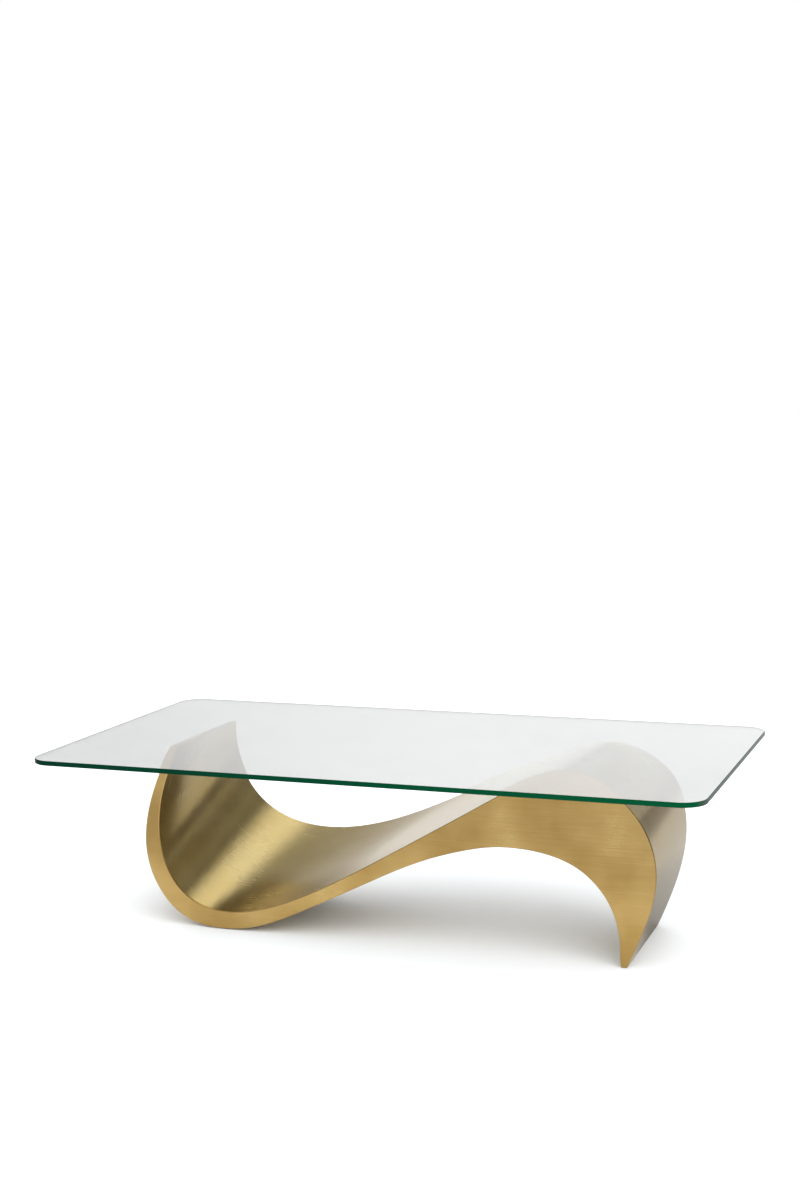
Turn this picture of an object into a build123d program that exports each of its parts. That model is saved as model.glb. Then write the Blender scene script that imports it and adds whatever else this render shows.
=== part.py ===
from build123d import *
import os
from math import hypot

# Low table: a clear glass top lying loose on a hollow S-shaped base of brushed brass sheet.
# Frame: +X along the table, +Y from front to rear, +Z up; the origin is on the floor below the
# centre of the glass. All sizes are in millimetres.

# Glass top
GLASS_LENGTH = 1400.0
GLASS_WIDTH = 750.0
GLASS_THICKNESS = 10.0
GLASS_CORNER_RADIUS = 50.0
GLASS_ARRIS = 1.2

# Base envelope
TABLE_HEIGHT = 395.0
BASE_DEPTH = 300.0
BUMPER_THICKNESS = 1.5
FLOOR_PAD_THICKNESS = 1.5
GLASS_UNDERSIDE = TABLE_HEIGHT - GLASS_THICKNESS
BASE_TOP = GLASS_UNDERSIDE - BUMPER_THICKNESS
BASE_BOTTOM = FLOOR_PAD_THICKNESS

# Sheet metal of the base
SKIN_THICKNESS = 2.0
PLATE_THICKNESS = 3.0
PLATE_EDGE_BREAK = 1.4
FORMER_THICKNESS = 3.0
FORMER_OFFSET = 50.0
WELD_GAP = 0.3
CREST_BAR_HEIGHT = 34.0
TOE_BAR_HEIGHT = 34.0

# Self-adhesive discs: clear bumpers under the glass and pads under the base
ADHESIVE_THICKNESS = 0.1
DISC_OVERLENGTH = 3.0
CREST_BUMPER_RADIUS = 4.5
CREST_BUMPER_DEPTHS = (-120.0, 0.0, 120.0)
ARCH_BUMPER_RADIUS = 7.0
ARCH_BUMPER_DEPTHS = (-120.0, -40.0, 40.0, 120.0)
BOWL_PAD_RADIUS = 15.0
BOWL_PAD_DEPTHS = (-115.0, 115.0)
TOE_PAD_RADIUS = 4.0
TOE_PAD_DEPTHS = (-125.0, 0.0, 125.0)

# Stations of the ruled skins, as (x, z) on the front face and on the rear face. Each row is a
# straight line across the depth, joining points where the two outlines run at about the same
# slope. The upper skin starts at the crest, goes down the inside of the bowl, up the rise and
# over the arch to the toe.
UPPER_STATIONS = [
    ((-466, BASE_TOP), (-467, BASE_TOP)),
    ((-503, 297), (-468, 355)),
    ((-516, 210), (-461, 311)),
    ((-493, 113), (-427, 239)),
    ((-442, 59), (-363, 187)),
    ((-362, 39), (-250, 162)),
    ((-266, 55), (-118, 181)),
    ((-156, 100), (-12, 219)),
    ((35, 206), (111, 276)),
    ((200, 303), (222, 325)),
    ((308, 363), (325, 364)),
    ((392, BASE_TOP), (410, BASE_TOP)),
    ((473, 356), (489, 362)),
    ((542, 284), (548, 305)),
    ((567, 195), (567, 220)),
    ((545, 88), (547, 105)),
    ((509, BASE_BOTTOM), (506, BASE_BOTTOM)),
]
# The lower skin starts at the crest, goes down the outside of the bowl, over the floor line,
# up the rise and under the arch to the toe.
LOWER_STATIONS = [
    ((-483, BASE_TOP), (-479, BASE_TOP)),
    ((-523, 303), (-521, 311)),
    ((-549, 175), (-548, 195)),
    ((-527, 91), (-523, 103)),
    ((-460, 20), (-453, 27)),
    ((-374, BASE_BOTTOM), (-372, BASE_BOTTOM)),
    ((-300, 10), (-310, 14)),
    ((-192, 52), (-225, 53)),
    ((-32, 131), (-17, 170)),
    ((92, 187), (160, 263)),
    ((190, 216), (280, 320)),
    ((273, 225), (380, 348)),
    ((401, 197), (459, 329)),
    ((474, 122), (513, 275)),
    ((493, 55), (536, 185)),
    ((494, 28), (520, 91)),
    ((496, BASE_BOTTOM), (496, BASE_BOTTOM)),
]

# Cross webs: centre (x, z), direction of the web from the lower to the upper skin in degrees
# from +X, and the length of its blank
WEBS = {
    "web_bowl_wall": ((-490, 245), 0, 170),
    "web_bowl_corner": ((-455, 125), 48, 260),
    "web_bowl_floor": ((-300, 90), 90, 200),
    "web_rise_low": ((-105, 135), 112, 150),
    "web_rise_high": ((90, 240), 116, 130),
    "web_arch_top": ((300, 285), 90, 190),
    "web_arch_corner": ((478, 260), 48, 190),
    "web_leg": ((510, 155), 0, 130),
}
WEB_THICKNESS = 3.0

HALF_DEPTH = BASE_DEPTH / 2
PLATE_INNER_FACE = HALF_DEPTH - PLATE_THICKNESS
LARGE = 1000.0

# Indexes of the stations where the base meets the glass and the floor
CREST_LINE = 0
FLOOR_LINE = 5
ARCH_LINE = 11
TOE_LINE = -1


def spline_parameters(stations):
    """Spline parameters from the mean distance between neighbouring stations."""
    lengths = [0.0]
    for (front_a, rear_a), (front_b, rear_b) in zip(stations, stations[1:]):
        front_step = hypot(front_b[0] - front_a[0], front_b[1] - front_a[1])
        rear_step = hypot(rear_b[0] - rear_a[0], rear_b[1] - rear_a[1])
        lengths.append(lengths[-1] + (front_step + rear_step) / 2)
    return [length / lengths[-1] for length in lengths]


def spline_at(points, parameters, y):
    """Smooth curve through (x, z) points, in the plane at depth y."""
    return Edge.make_spline([(x, y, z) for x, z in points], parameters=parameters)


def inset_points(points, parameters, inset, side):
    """Points moved into the metal; side is +1 for the upper outline and -1 for the lower."""
    curve = spline_at(points, parameters, 0)
    moved = []
    for index, ((x, z), parameter) in enumerate(zip(points, parameters)):
        tangent = curve.tangent_at(parameter)
        if index in (0, len(points) - 1):
            moved.append((x + side * inset / tangent.Z, z))
        else:
            moved.append((x + side * inset * tangent.Z, z - side * inset * tangent.X))
    return moved


def outline(stations, inset, side, y):
    """Edge of a skin at depth y, with its outer face moved in by inset."""
    parameters = spline_parameters(stations)
    front = inset_points([front for front, _ in stations], parameters, inset, side)
    rear = inset_points([rear for _, rear in stations], parameters, inset, side)
    share = (y + HALF_DEPTH) / BASE_DEPTH
    points = []
    for (front_x, front_z), (rear_x, rear_z) in zip(front, rear):
        points.append((front_x + share * (rear_x - front_x), front_z + share * (rear_z - front_z)))
    return spline_at(points, parameters, y)


def loop(first, second):
    """Closed wire from two edges that run the same way."""
    start = Edge.make_line(first.position_at(0), second.position_at(0))
    end = Edge.make_line(first.position_at(1), second.position_at(1))
    return Wire([first, end, second, start])


def base_loop(y, inset=0.0):
    """Whole outline of the base at depth y."""
    return loop(outline(UPPER_STATIONS, inset, 1, y), outline(LOWER_STATIONS, inset, -1, y))


def base_solid(y_front, y_rear, inset=0.0):
    """Solid of the whole base between two depths."""
    return Solid.make_loft([base_loop(y_front, inset), base_loop(y_rear, inset)], ruled=True)


def zone(x_low, x_high, z_low, z_high):
    """Block across the whole depth, for cutting."""
    size = (x_high - x_low, LARGE, z_high - z_low)
    return Pos((x_low + x_high) / 2, 0, (z_low + z_high) / 2) * Box(*size)


def crest_zone(clearance=0.0):
    return zone(-LARGE, 0, BASE_TOP - CREST_BAR_HEIGHT - clearance, LARGE)


def toe_zone(clearance=0.0):
    return zone(0, LARGE, -LARGE, BASE_BOTTOM + TOE_BAR_HEIGHT + clearance)


def glass_top():
    """Clear pane with rounded corners and arrised edges."""
    blank = extrude(RectangleRounded(GLASS_LENGTH, GLASS_WIDTH, GLASS_CORNER_RADIUS), GLASS_THICKNESS)
    rims = blank.faces().sort_by(Axis.Z)[0].edges() + blank.faces().sort_by(Axis.Z)[-1].edges()
    return Pos(0, 0, GLASS_UNDERSIDE) * chamfer(rims, GLASS_ARRIS)


def profile_plate(side):
    """Flat end plate cut to the S outline, with its outer edge broken; side is -1 at the front."""
    outer = base_loop(side * HALF_DEPTH, PLATE_EDGE_BREAK)
    shoulder = base_loop(side * (HALF_DEPTH - PLATE_EDGE_BREAK))
    inner = base_loop(side * PLATE_INNER_FACE)
    return Solid.make_loft([outer, shoulder, inner], ruled=True)


def skin(stations, side):
    """Rolled sheet between the end plates, trimmed where the solid bars take over."""
    loops = []
    for y in (-PLATE_INNER_FACE, PLATE_INNER_FACE):
        loops.append(loop(outline(stations, 0.0, side, y), outline(stations, SKIN_THICKNESS, side, y)))
    return Solid.make_loft(loops, ruled=True) - crest_zone() - toe_zone()


def end_bar(cut):
    """Solid bar that fills one sharp end of the base between the plates."""
    return base_solid(-PLATE_INNER_FACE, PLATE_INNER_FACE) & cut


def former(y):
    """Inner plate that holds the skins to shape at depth y."""
    inset = SKIN_THICKNESS + WELD_GAP
    blank = base_solid(y - FORMER_THICKNESS / 2, y + FORMER_THICKNESS / 2, inset)
    return blank - crest_zone(WELD_GAP) - toe_zone(WELD_GAP)


def hollow(y_low, y_high):
    """Space inside the skins between two depths."""
    return base_solid(y_low, y_high, SKIN_THICKNESS + WELD_GAP)


def bays():
    """The three stretches of depth between the end plates and the formers."""
    outer_edge = FORMER_OFFSET + FORMER_THICKNESS / 2
    inner_edge = FORMER_OFFSET - FORMER_THICKNESS / 2
    return [(-PLATE_INNER_FACE, -outer_edge), (-inner_edge, inner_edge), (outer_edge, PLATE_INNER_FACE)]


def web(space, centre, direction, length):
    """Cross web between the skins, in three pieces, one in each bay."""
    pieces = []
    for y_low, y_high in bays():
        blank = Box(length, y_high - y_low, WEB_THICKNESS)
        place = Pos(centre[0], (y_low + y_high) / 2, centre[1]) * Rot(0, -direction, 0)
        pieces += (space & (place * blank)).solids()
    return Compound(children=pieces)


def line_x(stations, index, y):
    """Place along the table of one station's ruling at depth y."""
    (front_x, _), (rear_x, _) = stations[index]
    return front_x + (y + HALF_DEPTH) / BASE_DEPTH * (rear_x - front_x)


def disc(x, y, radius, z_low, z_high):
    return Pos(x, y, (z_low + z_high) / 2) * Cylinder(radius, z_high - z_low)


def flat_discs(index, depths, radius, z_low, z_high):
    """Discs on the flat end of the base, midway between the two outlines."""
    discs = []
    for y in depths:
        x = (line_x(UPPER_STATIONS, index, y) + line_x(LOWER_STATIONS, index, y)) / 2
        discs.append(disc(x, y, radius, z_low, z_high))
    return Compound(children=discs)


def bedded_discs(stations, index, depths, radius, z_low, z_high):
    """Discs on a curved stretch of the base, each shaped to the skin that it sticks to."""
    body = base_solid(-HALF_DEPTH, HALF_DEPTH, -ADHESIVE_THICKNESS)
    discs = []
    for y in depths:
        discs += (disc(line_x(stations, index, y), y, radius, z_low, z_high) - body).solids()
    return Compound(children=discs)


def crest_bumpers():
    return flat_discs(CREST_LINE, CREST_BUMPER_DEPTHS, CREST_BUMPER_RADIUS, BASE_TOP, GLASS_UNDERSIDE)


def arch_bumpers():
    heights = (BASE_TOP - DISC_OVERLENGTH, GLASS_UNDERSIDE)
    return bedded_discs(UPPER_STATIONS, ARCH_LINE, ARCH_BUMPER_DEPTHS, ARCH_BUMPER_RADIUS, *heights)


def toe_floor_pads():
    return flat_discs(TOE_LINE, TOE_PAD_DEPTHS, TOE_PAD_RADIUS, 0, BASE_BOTTOM)


def bowl_floor_pads():
    heights = (0, BASE_BOTTOM + DISC_OVERLENGTH)
    return bedded_discs(LOWER_STATIONS, FLOOR_LINE, BOWL_PAD_DEPTHS, BOWL_PAD_RADIUS, *heights)


def main():
    os.makedirs("parts", exist_ok=True)
    nodes = {
        "glass_top": glass_top(),
        "front_profile_plate": profile_plate(-1),
        "rear_profile_plate": profile_plate(1),
        "upper_skin": skin(UPPER_STATIONS, 1),
        "lower_skin": skin(LOWER_STATIONS, -1),
        "crest_bar": end_bar(crest_zone()),
        "toe_bar": end_bar(toe_zone()),
        "front_former": former(-FORMER_OFFSET),
        "rear_former": former(FORMER_OFFSET),
        "crest_bumpers": crest_bumpers(),
        "arch_bumpers": arch_bumpers(),
        "bowl_floor_pads": bowl_floor_pads(),
        "toe_floor_pads": toe_floor_pads(),
    }
    space = hollow(-PLATE_INNER_FACE, PLATE_INNER_FACE)
    for name, (centre, direction, length) in WEBS.items():
        nodes[name] = web(space, centre, direction, length)
    for name, shape in nodes.items():
        export_step(shape, f"parts/{name}.step")


main()
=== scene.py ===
from math import cos, radians, sin

import bmesh
import bpy
from mathutils import Matrix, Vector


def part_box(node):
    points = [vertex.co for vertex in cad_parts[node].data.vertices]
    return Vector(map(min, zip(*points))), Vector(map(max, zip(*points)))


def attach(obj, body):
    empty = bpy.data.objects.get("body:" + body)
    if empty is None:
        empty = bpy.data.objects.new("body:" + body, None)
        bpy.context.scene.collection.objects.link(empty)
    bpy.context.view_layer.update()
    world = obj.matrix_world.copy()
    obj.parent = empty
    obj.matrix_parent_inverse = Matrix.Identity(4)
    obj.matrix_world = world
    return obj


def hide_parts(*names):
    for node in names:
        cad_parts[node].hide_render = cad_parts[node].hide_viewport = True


# Looks for a low table: clear glass on a hollow S-shaped base of brushed brass sheet.
# Units are metres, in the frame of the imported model: +X along the table, +Y to its rear, +Z up.

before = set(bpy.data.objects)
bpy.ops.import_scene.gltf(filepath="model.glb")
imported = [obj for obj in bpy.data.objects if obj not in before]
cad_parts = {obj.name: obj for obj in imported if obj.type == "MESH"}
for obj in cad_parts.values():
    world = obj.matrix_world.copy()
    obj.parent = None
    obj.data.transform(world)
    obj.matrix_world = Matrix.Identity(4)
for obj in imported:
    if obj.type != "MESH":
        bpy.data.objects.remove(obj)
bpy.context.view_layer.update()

# Camera
CAMERA_PLACE = (1.3138, -3.6133, 1.1751)
CAMERA_YAW = -20.141
CAMERA_PITCH = 7.04
CAMERA_ROLL = 0.886
CAMERA_LENS = 55.46
SENSOR_SIZE = 36.0
FAR_CLIP = 200.0

# Glass pane, as in the model. Its faces shade smoothly where they meet at less than SMOOTH_ANGLE.
GLASS_CORNER_RADIUS = 0.050
GLASS_ARRIS = 0.0012
CORNER_STEPS = 24
SMOOTH_ANGLE = 20.0

# Brass. Grain and clouds are noise, in cells to the metre along each axis: a sheet is brushed along
# the axes where its grain is low. The tangent is the other axis.
SKIN_GRAIN = (9.0, 600.0, 9.0)
SKIN_TANGENT = (0.0, 1.0, 0.0)
SKIN_DEEP = (0.44, 0.32, 0.118, 1.0)
SKIN_PALE = (0.51, 0.385, 0.168, 1.0)
SKIN_COAT = 1.0
PLATE_GRAIN = (9.0, 9.0, 600.0)
PLATE_TANGENT = (0.0, 0.0, 1.0)
PLATE_DEEP = (0.41, 0.26, 0.078, 1.0)
PLATE_PALE = (0.56, 0.39, 0.145, 1.0)
PLATE_COAT = 0.5
HAIRLINE_SCALE = 2.3
CLOUD_SCALE = (7.0, 7.0, 7.0)
TONE_RANGE = (0.45, 0.80)
BRASS_ROUGHNESS = 0.23
ROUGHNESS_SPREAD = 0.03
BRASS_ANISOTROPY = 0.5
BRASS_RELIEF = 0.03
LACQUER_ROUGHNESS = 0.25
LACQUER_IOR = 1.3

# Looks of the glass. Its edge is painted light: the green of light that has crossed the glass,
# painted darkest at the left and greener to the right, and painted grey over SIDE_EDGE, where it
# goes round the right-hand corners.
GLASS_IOR = 1.52
GLASS_COAT_IOR = 1.75
GLASS_TINT = (0.76, 0.79, 0.785, 1.0)
GLASS_SHADOW_TINT = (0.96, 0.975, 0.97, 1.0)
GLASS_SMEAR = 0.015
EDGE_LEFT_GREEN = (0.0, 0.016, 0.010, 1.0)
EDGE_RIGHT_GREEN = (0.0, 0.060, 0.021, 1.0)
EDGE_SIDE_GREY = (0.045, 0.064, 0.050, 1.0)
EDGE_REACH = 0.7
SIDE_EDGE = (0.685, 0.699)

# Other materials: noise mixes the two tones of each. MIDDLE_NOISE is where most of its values lie.
ELASTOMER_TONES = ((0.86, 0.88, 0.87, 1.0), (0.94, 0.95, 0.94, 1.0))
ELASTOMER_IOR = 1.1
ELASTOMER_ALPHA = 0.3
RUBBER_TONES = ((0.02, 0.02, 0.02, 1.0), (0.05, 0.05, 0.05, 1.0))
STEEL_TONES = ((0.20, 0.20, 0.21, 1.0), (0.42, 0.41, 0.40, 1.0))
FLOOR_TONES = ((0.91, 0.93, 0.95, 1.0), (0.93, 0.95, 0.97, 1.0))
FLOOR_SIZE = 60.0
MIDDLE_NOISE = (0.3, 0.7)

# Brightness of the studio, where white is 1. The floor takes an even light from all round, and a
# broad soft one from the front right.
AMBIENT_LIGHT = 1.2
RIGHT_LIGHT = 1.8
RIGHT_AZIMUTH = -48.0
RIGHT_ELEVATION = 45.0
RIGHT_SPREAD = 60.0

# What the brass and the glass mirror: a profile from left to right by X, which dims with height by
# Z, and a soft lamp high up behind.
SIDE_LIGHTS = [(-0.8, 0.53), (-0.47, 0.62), (-0.3, 0.81), (-0.1, 0.87), (0.2, 0.44), (0.38, 0.10)]
SIDE_LIGHTS += [(0.68, 0.44), (0.86, 0.07), (1.0, 0.03)]
HEIGHT_LIGHTS = [(0.0, 1.0), (0.18, 0.55), (1.0, 0.42)]
HORIZON_LIGHT = 2.2
LAMP_LIGHT = 2.1
LAMP_AZIMUTH = 25.0
LAMP_ELEVATION = 75.0
LAMP_COSINES = (0.90, 0.995)

# The floor as they mirror it, with a painted pool of light and painted shade in its colour: its
# brightness by distance from POOL_CENTRE, as shares of POOL_REACH, with each axis scaled by
# POOL_SHAPE. Along DIM_SIDE it darkens, as painted shade, to DIM_SHARE of that over DIM_SPAN.
POOL_CENTRE = (0.0, -0.4, 0.0)
POOL_SHAPE = (0.4, 1.0, 1.0)
POOL_LIGHTS = [(0.0, 0.88), (0.08, 0.85), (0.13, 0.33), (0.22, 0.46), (0.30, 0.65), (1.0, 0.70)]
POOL_REACH = 4.0
DIM_SIDE = (1.0, 0.8, 0.0)
DIM_SPAN = (0.4, 1.4)
DIM_SHARE = 0.74


class Nodes:
    """Adds linked nodes to one material or world.

    An input is named as in Blender, with _ for a space, or by its number where names repeat.
    """

    def __init__(self, owner):
        owner.use_nodes = True
        self.tree = owner.node_tree
        self.tree.nodes.clear()

    def add(self, kind, settings=None, **inputs):
        node = self.tree.nodes.new(kind)
        for name, value in (settings or {}).items():
            setattr(node, name, value)
        for name, value in inputs.items():
            self.feed(node, name.replace("_", " "), value)
        return node

    def feed(self, node, name, value):
        """Links a node's output to an input, or sets the input to a plain value."""
        socket = node.inputs[int(name)] if name.isdigit() else node.inputs[name]
        if isinstance(value, bpy.types.NodeSocket):
            self.tree.links.new(value, socket)
        else:
            socket.default_value = value

    def noise(self, place, scale, detail=4.0, roughness=0.5):
        """Grey noise on object coordinates, stretched by scale along each axis."""
        mapped = self.add("ShaderNodeMapping", Vector=place, Scale=scale)
        texture = self.add("ShaderNodeTexNoise", Vector=mapped.outputs["Vector"], Scale=1.0)
        self.feed(texture, "Detail", detail)
        self.feed(texture, "Roughness", roughness)
        return texture.outputs["Fac"]

    def ranged(self, value, low, high, to_low, to_high, step="LINEAR"):
        """Maps low to high onto to_low to to_high, and holds the ends."""
        node = self.add("ShaderNodeMapRange", {"interpolation_type": step}, Value=value)
        self.feed(node, "From Min", low)
        self.feed(node, "From Max", high)
        self.feed(node, "To Min", to_low)
        self.feed(node, "To Max", to_high)
        return node.outputs["Result"]

    def blend(self, factor, first, second):
        """Mixes two colours."""
        node = self.add("ShaderNodeMix", {"data_type": "RGBA"})
        self.feed(node, "0", factor)
        self.feed(node, "6", first)
        self.feed(node, "7", second)
        return node.outputs[2]

    def ramp(self, value, stops):
        """Grey level by value, from 0 to 1, through the given stops."""
        node = self.add("ShaderNodeValToRGB", Fac=value)
        elements = node.color_ramp.elements
        while len(elements) < len(stops):
            elements.new(0.5)
        for element, (position, light) in zip(elements, stops):
            element.position = position
            element.color = (light, light, light, 1.0)
        return node.outputs["Color"]

    def sum(self, first, second, weight=1.0):
        """Adds the second value, times weight, to the first."""
        node = self.add("ShaderNodeMath", {"operation": "MULTIPLY_ADD"})
        self.feed(node, "0", second)
        self.feed(node, "1", weight)
        self.feed(node, "2", first)
        return node.outputs[0]


def brass(name, grain, tangent, tones, coat):
    """Satin brushed brass under clear lacquer, with soft clouds of tone."""
    material = bpy.data.materials.new(name)
    n = Nodes(material)
    place = n.add("ShaderNodeTexCoord").outputs["Object"]
    clouds = n.noise(place, CLOUD_SCALE, 3.0)
    streaks = n.noise(place, grain, 3.0)
    hairlines = n.noise(place, tuple(HAIRLINE_SCALE * s for s in grain), 1.0)
    tone = n.sum(clouds, streaks, 0.25)
    colour = n.blend(n.ranged(tone, *TONE_RANGE, 0.0, 1.0), *tones)
    smooth, dull = BRASS_ROUGHNESS - ROUGHNESS_SPREAD, BRASS_ROUGHNESS + ROUGHNESS_SPREAD
    rough = n.sum(n.ranged(clouds, *MIDDLE_NOISE, smooth, dull), streaks, 0.05)
    relief = n.sum(streaks, hairlines, 0.5)
    bump = n.add("ShaderNodeBump", Height=relief, Strength=BRASS_RELIEF, Distance=0.0001)
    across = n.add("ShaderNodeCombineXYZ", X=tangent[0], Y=tangent[1], Z=tangent[2])
    shader = n.add("ShaderNodeBsdfPrincipled", Base_Color=colour, Roughness=rough, Metallic=1.0)
    n.feed(shader, "Anisotropic", BRASS_ANISOTROPY)
    n.feed(shader, "Tangent", across.outputs["Vector"])
    n.feed(shader, "Normal", bump.outputs["Normal"])
    n.feed(shader, "Coat Weight", coat)
    n.feed(shader, "Coat Roughness", LACQUER_ROUGHNESS)
    n.feed(shader, "Coat IOR", LACQUER_IOR)
    n.add("ShaderNodeOutputMaterial", Surface=shader.outputs["BSDF"])
    return material


def clear_glass():
    """The two faces of the pane: polished float glass that mirrors strongly at a low angle."""
    material = bpy.data.materials.new("clear_glass")
    n = Nodes(material)
    place = n.add("ShaderNodeTexCoord").outputs["Object"]
    ripple = n.noise(place, (4.0, 4.0, 4.0), 1.0)
    bump = n.add("ShaderNodeBump", Height=ripple, Strength=0.02, Distance=0.001)
    film = n.noise(place, (14.0, 14.0, 14.0), 5.0)
    shader = n.add("ShaderNodeBsdfPrincipled", IOR=GLASS_IOR, Normal=bump.outputs["Normal"])
    n.feed(shader, "Base Color", GLASS_TINT)
    n.feed(shader, "Roughness", n.ranged(film, 0.4, 0.7, 0.0, GLASS_SMEAR))
    n.feed(shader, "Transmission Weight", 1.0)
    n.feed(shader, "Coat Weight", 1.0)
    n.feed(shader, "Coat Roughness", 0.0)
    n.feed(shader, "Coat IOR", GLASS_COAT_IOR)
    clear = n.add("ShaderNodeBsdfTransparent", Color=GLASS_SHADOW_TINT)
    path = n.add("ShaderNodeLightPath")
    mix = n.add("ShaderNodeMixShader")
    n.feed(mix, "0", path.outputs["Is Shadow Ray"])
    n.feed(mix, "1", shader.outputs["BSDF"])
    n.feed(mix, "2", clear.outputs["BSDF"])
    n.add("ShaderNodeOutputMaterial", Surface=mix.outputs["Shader"])
    return material


def green_edge():
    """Polished edge of the pane, with painted light: the dark green of light that has crossed so
    much glass.
    """
    material = bpy.data.materials.new("green_edge")
    n = Nodes(material)
    place = n.add("ShaderNodeTexCoord").outputs["Object"]
    depth = n.noise(place, (1.5, 1.5, 1.5), 2.0)
    grind = n.noise(place, (60.0, 60.0, 900.0), 3.0)
    along = n.add("ShaderNodeSeparateXYZ", Vector=place).outputs["X"]
    # Painted light along the edge: darkest at the left, greener to the right, with some noise.
    share = n.sum(n.ranged(along, -EDGE_REACH, EDGE_REACH, 0.0, 0.8), depth, 0.3)
    bump = n.add("ShaderNodeBump", Height=grind, Strength=0.05, Distance=0.0001)
    shader = n.add("ShaderNodeBsdfPrincipled", Normal=bump.outputs["Normal"])
    front = n.blend(share, EDGE_LEFT_GREEN, EDGE_RIGHT_GREEN)
    # Painted grey where the edge goes round the right-hand corners.
    side = n.ranged(along, *SIDE_EDGE, 0.0, 1.0)
    n.feed(shader, "Base Color", n.blend(side, front, EDGE_SIDE_GREY))
    n.feed(shader, "Roughness", n.ranged(grind, *MIDDLE_NOISE, 0.08, 0.16))
    n.feed(shader, "Specular IOR Level", 0.03)
    n.add("ShaderNodeOutputMaterial", Surface=shader.outputs["BSDF"])
    return material


def clear_elastomer():
    """Hazy clear bumpers between the brass and the glass."""
    material = bpy.data.materials.new("clear_elastomer")
    n = Nodes(material)
    place = n.add("ShaderNodeTexCoord").outputs["Object"]
    haze = n.noise(place, (400.0, 400.0, 400.0), 2.0)
    shader = n.add("ShaderNodeBsdfPrincipled", IOR=ELASTOMER_IOR, Alpha=ELASTOMER_ALPHA)
    n.feed(shader, "Base Color", n.blend(haze, *ELASTOMER_TONES))
    n.feed(shader, "Roughness", n.ranged(haze, *MIDDLE_NOISE, 0.15, 0.3))
    n.feed(shader, "Transmission Weight", 0.9)
    n.add("ShaderNodeOutputMaterial", Surface=shader.outputs["BSDF"])
    return material


def dark_rubber():
    """Gritty black pads under the brass."""
    material = bpy.data.materials.new("dark_rubber")
    n = Nodes(material)
    place = n.add("ShaderNodeTexCoord").outputs["Object"]
    grit = n.noise(place, (1500.0, 1500.0, 1500.0), 3.0)
    bump = n.add("ShaderNodeBump", Height=grit, Strength=0.3, Distance=0.0002)
    shader = n.add("ShaderNodeBsdfPrincipled", Normal=bump.outputs["Normal"])
    n.feed(shader, "Base Color", n.blend(grit, *RUBBER_TONES))
    n.feed(shader, "Roughness", n.ranged(grit, *MIDDLE_NOISE, 0.6, 0.8))
    n.add("ShaderNodeOutputMaterial", Surface=shader.outputs["BSDF"])
    return material


def mill_steel():
    """Bare mild steel plate, which only shows if the base is opened."""
    material = bpy.data.materials.new("mill_steel")
    n = Nodes(material)
    place = n.add("ShaderNodeTexCoord").outputs["Object"]
    scale = n.noise(place, (60.0, 60.0, 60.0), 5.0, 0.6)
    bump = n.add("ShaderNodeBump", Height=scale, Strength=0.2, Distance=0.0003)
    shader = n.add("ShaderNodeBsdfPrincipled", Metallic=1.0, Normal=bump.outputs["Normal"])
    n.feed(shader, "Base Color", n.blend(scale, *STEEL_TONES))
    n.feed(shader, "Roughness", n.ranged(scale, *MIDDLE_NOISE, 0.35, 0.55))
    n.add("ShaderNodeOutputMaterial", Surface=shader.outputs["BSDF"])
    return material


def paint(material, *names):
    """Puts a material on the slots of CAD nodes."""
    for name in names:
        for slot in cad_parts[name].material_slots:
            slot.material = material


def finish_base():
    """Materials for every piece of the base and its pads."""
    skin_tones, plate_tones = (SKIN_DEEP, SKIN_PALE), (PLATE_DEEP, PLATE_PALE)
    skin_brass = brass("skin_brass", SKIN_GRAIN, SKIN_TANGENT, skin_tones, SKIN_COAT)
    plate_brass = brass("plate_brass", PLATE_GRAIN, PLATE_TANGENT, plate_tones, PLATE_COAT)
    paint(skin_brass, "upper_skin", "lower_skin", "crest_bar", "toe_bar")
    paint(plate_brass, "front_profile_plate", "rear_profile_plate")
    paint(clear_elastomer(), "crest_bumpers", "arch_bumpers")
    paint(dark_rubber(), "bowl_floor_pads", "toe_floor_pads")
    inner = [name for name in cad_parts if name.startswith("web_") or name.endswith("_former")]
    paint(mill_steel(), *inner)


def rounded_rectangle(half_length, half_width, radius, z):
    """Points anticlockwise round a rectangle with round corners."""
    points = []
    for corner, (side_x, side_y) in enumerate(((1, 1), (-1, 1), (-1, -1), (1, -1))):
        for step in range(CORNER_STEPS + 1):
            angle = radians(90.0 * (corner + step / CORNER_STEPS))
            x = side_x * (half_length - radius) + radius * cos(angle)
            y = side_y * (half_width - radius) + radius * sin(angle)
            points.append((x, y, z))
    return points


def glass_pane():
    """Pane with round corners and arrised edges: clear faces, green rim."""
    low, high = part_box("glass_top")
    half_length, half_width = high.x, high.y
    levels = [(GLASS_ARRIS, low.z), (0.0, low.z + GLASS_ARRIS)]
    levels += [(0.0, high.z - GLASS_ARRIS), (GLASS_ARRIS, high.z)]
    mesh = bmesh.new()
    rings = []
    for inset, z in levels:
        size = (half_length - inset, half_width - inset, GLASS_CORNER_RADIUS - inset)
        rings.append([mesh.verts.new(point) for point in rounded_rectangle(*size, z)])
    count = len(rings[0])
    for lower, upper in zip(rings, rings[1:]):
        for index in range(count):
            following = (index + 1) % count
            wall = mesh.faces.new((lower[index], lower[following], upper[following], upper[index]))
            wall.material_index = 1
            wall.smooth = True
    mesh.faces.new(rings[0][::-1])
    mesh.faces.new(rings[-1])
    data = bpy.data.meshes.new("glass_pane")
    mesh.normal_update()
    for edge in mesh.edges:
        edge.smooth = edge.calc_face_angle(0.0) < radians(SMOOTH_ANGLE)
    mesh.to_mesh(data)
    pane = bpy.data.objects.new("glass_pane", data)
    bpy.context.scene.collection.objects.link(pane)
    data.materials.append(clear_glass())
    data.materials.append(green_edge())
    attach(pane, "glass")
    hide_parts("glass_top")


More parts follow.
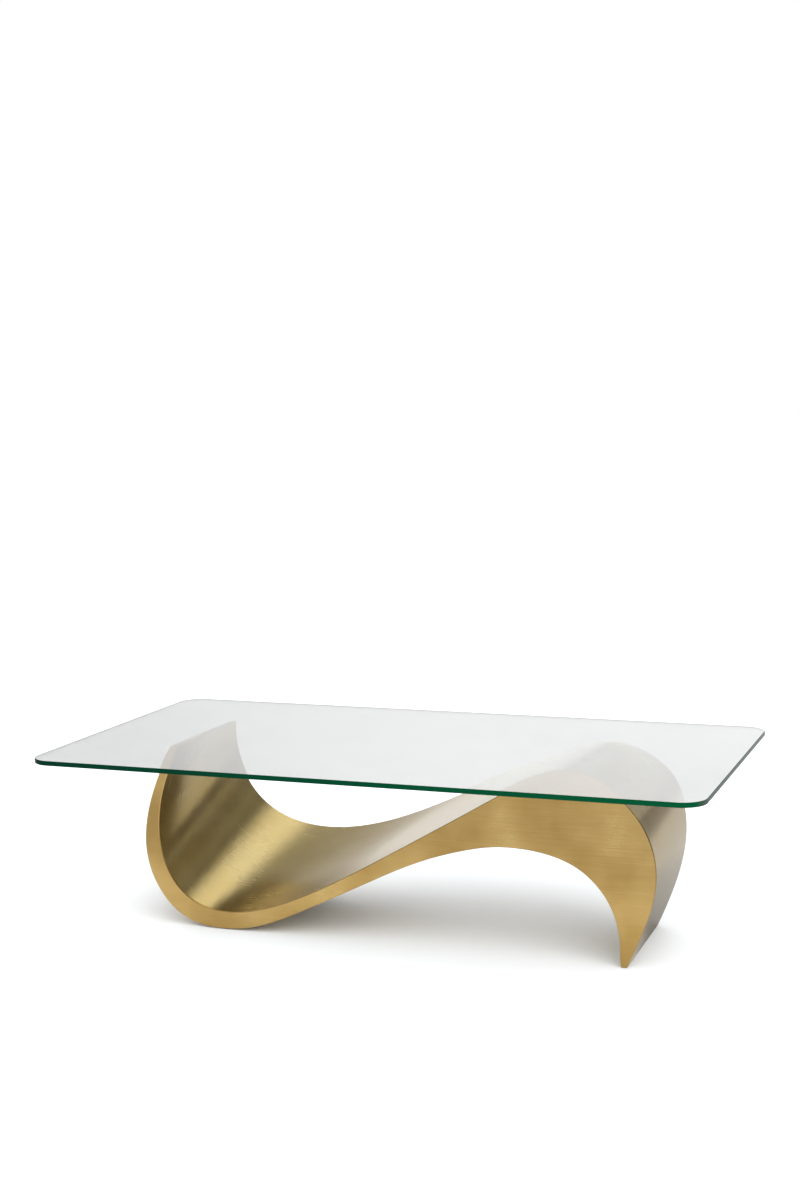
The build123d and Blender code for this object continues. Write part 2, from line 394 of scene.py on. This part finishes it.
def floor():
    """Wide pale floor, darker in what the brass and the glass mirror: a painted pool of light and
    shade.
    """
    bpy.ops.mesh.primitive_plane_add(size=FLOOR_SIZE)
    plane = bpy.context.object
    plane.name = "floor"
    material = bpy.data.materials.new("pale_floor")
    n = Nodes(material)
    place = n.add("ShaderNodeTexCoord").outputs["Object"]
    mottle = n.noise(place, (3.0, 3.0, 3.0), 4.0)
    away = n.add("ShaderNodeVectorMath", {"operation": "DISTANCE"})
    n.feed(away, "0", n.add("ShaderNodeMapping", Vector=place, Scale=POOL_SHAPE).outputs["Vector"])
    n.feed(away, "1", POOL_CENTRE)
    # Painted pool of light, with painted shade, by distance from POOL_CENTRE.
    pool = n.ramp(n.ranged(away.outputs["Value"], 0.0, POOL_REACH, 0.0, 1.0), POOL_LIGHTS)
    aside = n.add("ShaderNodeVectorMath", {"operation": "DOT_PRODUCT"})
    n.feed(aside, "0", place)
    n.feed(aside, "1", DIM_SIDE)
    # Painted shade, darker along DIM_SIDE.
    pool = n.sum(0.0, pool, n.ranged(aside.outputs["Value"], *DIM_SPAN, 1.0, DIM_SHARE))
    path = n.add("ShaderNodeLightPath")
    pale = n.blend(mottle, *FLOOR_TONES)
    shader = n.add("ShaderNodeBsdfPrincipled", Roughness=0.7)
    # Glossy rays see the painted pool of light and shade in place of the pale floor.
    n.feed(shader, "Base Color", n.blend(path.outputs["Is Glossy Ray"], pale, pool))
    n.feed(shader, "Specular IOR Level", 0.2)
    n.add("ShaderNodeOutputMaterial", Surface=shader.outputs["BSDF"])
    plane.data.materials.append(material)


def studio():
    """White surround, with the gradients and the soft lamp that the brass and the glass mirror."""
    world = bpy.data.worlds.new("studio")
    bpy.context.scene.world = world
    n = Nodes(world)
    direction = n.add("ShaderNodeTexCoord").outputs["Generated"]
    split = n.add("ShaderNodeSeparateXYZ", Vector=direction)
    stops = [((x + 1.0) / 2.0, light) for x, light in SIDE_LIGHTS]
    profile = n.ramp(n.ranged(split.outputs["X"], -1.0, 1.0, 0.0, 1.0), stops)
    height = n.ramp(split.outputs["Z"], HEIGHT_LIGHTS)
    horizon = n.sum(0.0, height, HORIZON_LIGHT)
    azimuth, elevation = radians(LAMP_AZIMUTH), radians(LAMP_ELEVATION)
    aim = (cos(elevation) * sin(azimuth), cos(elevation) * cos(azimuth), sin(elevation))
    towards = n.add("ShaderNodeVectorMath", {"operation": "DOT_PRODUCT"})
    n.feed(towards, "0", direction)
    n.feed(towards, "1", aim)
    lamp = n.ranged(towards.outputs["Value"], *LAMP_COSINES, 0.0, LAMP_LIGHT, "SMOOTHSTEP")
    mirrored = n.sum(lamp, profile, horizon)
    path = n.add("ShaderNodeLightPath")
    strength = n.add("ShaderNodeMix", {"data_type": "FLOAT"})
    n.feed(strength, "0", path.outputs["Is Glossy Ray"])
    n.feed(strength, "2", AMBIENT_LIGHT)
    n.feed(strength, "3", mirrored)
    seen = n.add("ShaderNodeMix", {"data_type": "FLOAT"})
    n.feed(seen, "0", path.outputs["Is Camera Ray"])
    n.feed(seen, "2", strength.outputs[0])
    n.feed(seen, "3", 1.0)
    background = n.add("ShaderNodeBackground", Color=(1.0, 1.0, 1.0, 1.0))
    n.feed(background, "Strength", seen.outputs[0])
    n.add("ShaderNodeOutputWorld", Surface=background.outputs["Background"])


def right_light():
    """Broad soft light from the front right, which shapes the shadows but isn't mirrored."""
    data = bpy.data.lights.new("right_light", "SUN")
    data.energy = RIGHT_LIGHT
    data.angle = radians(RIGHT_SPREAD)
    light = bpy.data.objects.new("right_light", data)
    turn = Matrix.Rotation(radians(RIGHT_AZIMUTH), 4, "Z")
    light.matrix_world = turn @ Matrix.Rotation(radians(90.0 - RIGHT_ELEVATION), 4, "Y")
    light.visible_glossy = False
    light.visible_transmission = False
    bpy.context.scene.collection.objects.link(light)


def camera():
    """Camera at the photograph's viewing angle."""
    data = bpy.data.cameras.new("camera")
    data.sensor_width = SENSOR_SIZE
    data.lens = CAMERA_LENS
    data.clip_end = FAR_CLIP
    eye = bpy.data.objects.new("camera", data)
    turn = Matrix.Rotation(radians(-CAMERA_YAW), 4, "Z")
    tilt = Matrix.Rotation(radians(90.0 - CAMERA_PITCH), 4, "X")
    roll = Matrix.Rotation(radians(-CAMERA_ROLL), 4, "Z")
    eye.matrix_world = Matrix.Translation(CAMERA_PLACE) @ turn @ tilt @ roll
    bpy.context.scene.collection.objects.link(eye)
    bpy.context.scene.camera = eye


camera()
bpy.context.scene.view_settings.view_transform = "Standard"
finish_base()
glass_pane()
floor()
studio()
right_light()
